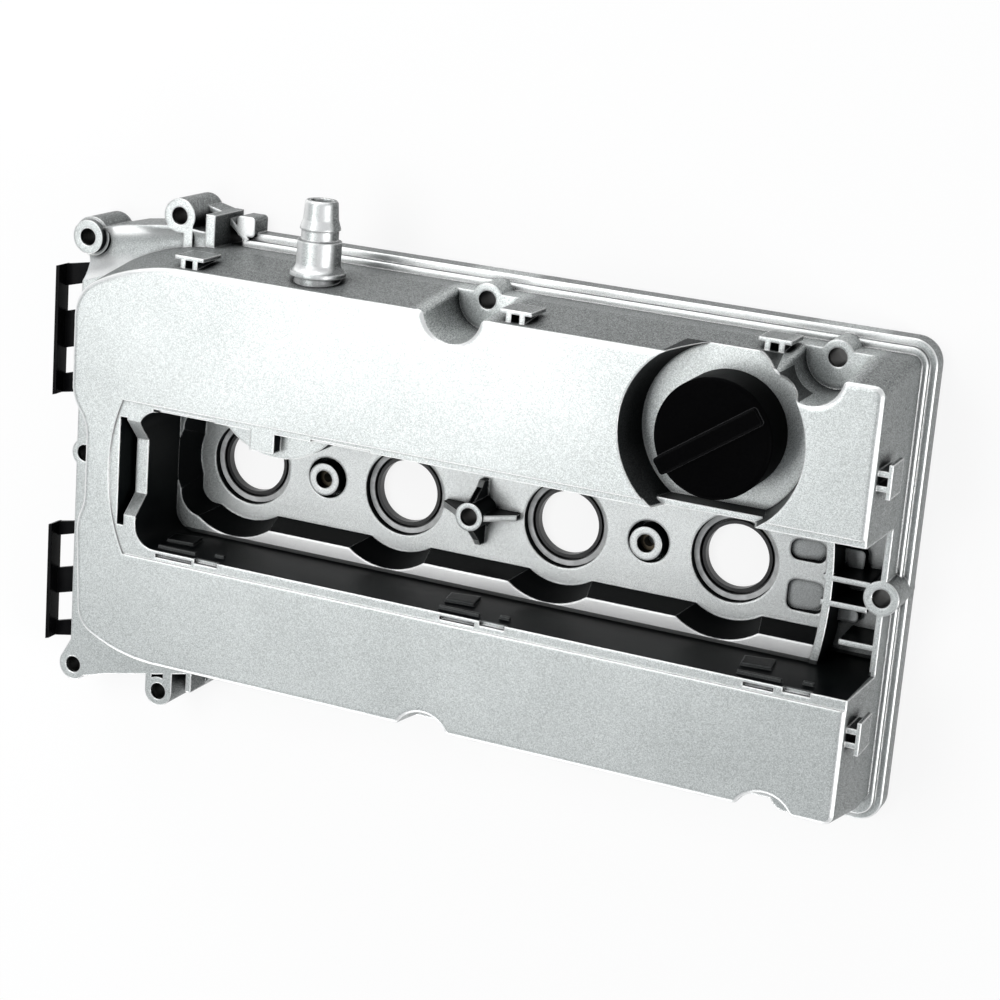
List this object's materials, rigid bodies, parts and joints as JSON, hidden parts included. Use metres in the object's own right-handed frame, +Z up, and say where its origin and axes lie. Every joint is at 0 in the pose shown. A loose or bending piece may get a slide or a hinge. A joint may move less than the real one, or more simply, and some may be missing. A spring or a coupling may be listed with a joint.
{
  "type": "engine valve cover",
  "caption": "Silver-painted engine valve cover with a coil channel between two cam housings, plug wells, a breather pipe stub and a black filler cap",
  "frame": {"origin": "the centre bolt's axis on the gasket face, which is the middle of the row of plug wells", "axes": "+X to the filler end, +Y to the breather pipe side, +Z up from the gasket face to the deck"},
  "size_m": [0.4512, 0.2797, 0.0726],
  "materials": {
    "cover_paint": "silver paint with a fine metal fleck over moulded glass-filled nylon",
    "cap_plastic": "fine-grained black",
    "guard_plastic": "smooth black",
    "baffle_plastic": "matte dark grey",
    "seal_rubber": "matte dark grey",
    "sleeve_steel": "zinc plated",
    "insert_brass": "turned",
    "spring_steel": "plain wire"
  },
  "bodies": {
    "cover_body": {"cover": "cover_paint", "perimeter_gasket": "seal_rubber", "vent_cover": "cap_plastic", "vent_diaphragm": "seal_rubber", "vent_spring": "spring_steel", "baffle_plate": "baffle_plastic", "end_guard_upper": "guard_plastic", "end_guard_lower": "guard_plastic", "plug_seal_1": "seal_rubber", "plug_seal_2": "seal_rubber", "plug_seal_3": "seal_rubber", "plug_seal_4": "seal_rubber", "coil_insert_1": "insert_brass", "coil_insert_2": "insert_brass", "bolt_sleeve_1": "sleeve_steel", "bolt_sleeve_2": "sleeve_steel", "bolt_sleeve_3": "sleeve_steel", "bolt_sleeve_4": "sleeve_steel", "bolt_sleeve_5": "sleeve_steel", "bolt_sleeve_6": "sleeve_steel", "bolt_sleeve_7": "sleeve_steel", "bolt_sleeve_8": "sleeve_steel", "bolt_sleeve_9": "sleeve_steel", "bolt_sleeve_10": "sleeve_steel", "bolt_sleeve_11": "sleeve_steel"},
    "cap": {"oil_cap": "cap_plastic", "cap_seal": "seal_rubber"},
    "vent_valve": {"vent_plate": "cap_plastic"}
  },
  "joints": [
    {"name": "cap_turn", "type": "hinge", "parent": "cover_body", "child": "cap", "pos_m": [0.131, 0.07, 0.05], "axis": [0, 0, 1], "range_deg": [0, 90]},
    {"name": "vent_lift", "type": "slide", "parent": "cover_body", "child": "vent_valve", "axis": [0, 0, 1], "range_m": [-0.003, 0], "stiffness_N_per_m": 60, "deforming": ["vent_spring", "vent_diaphragm"]}
  ]
}
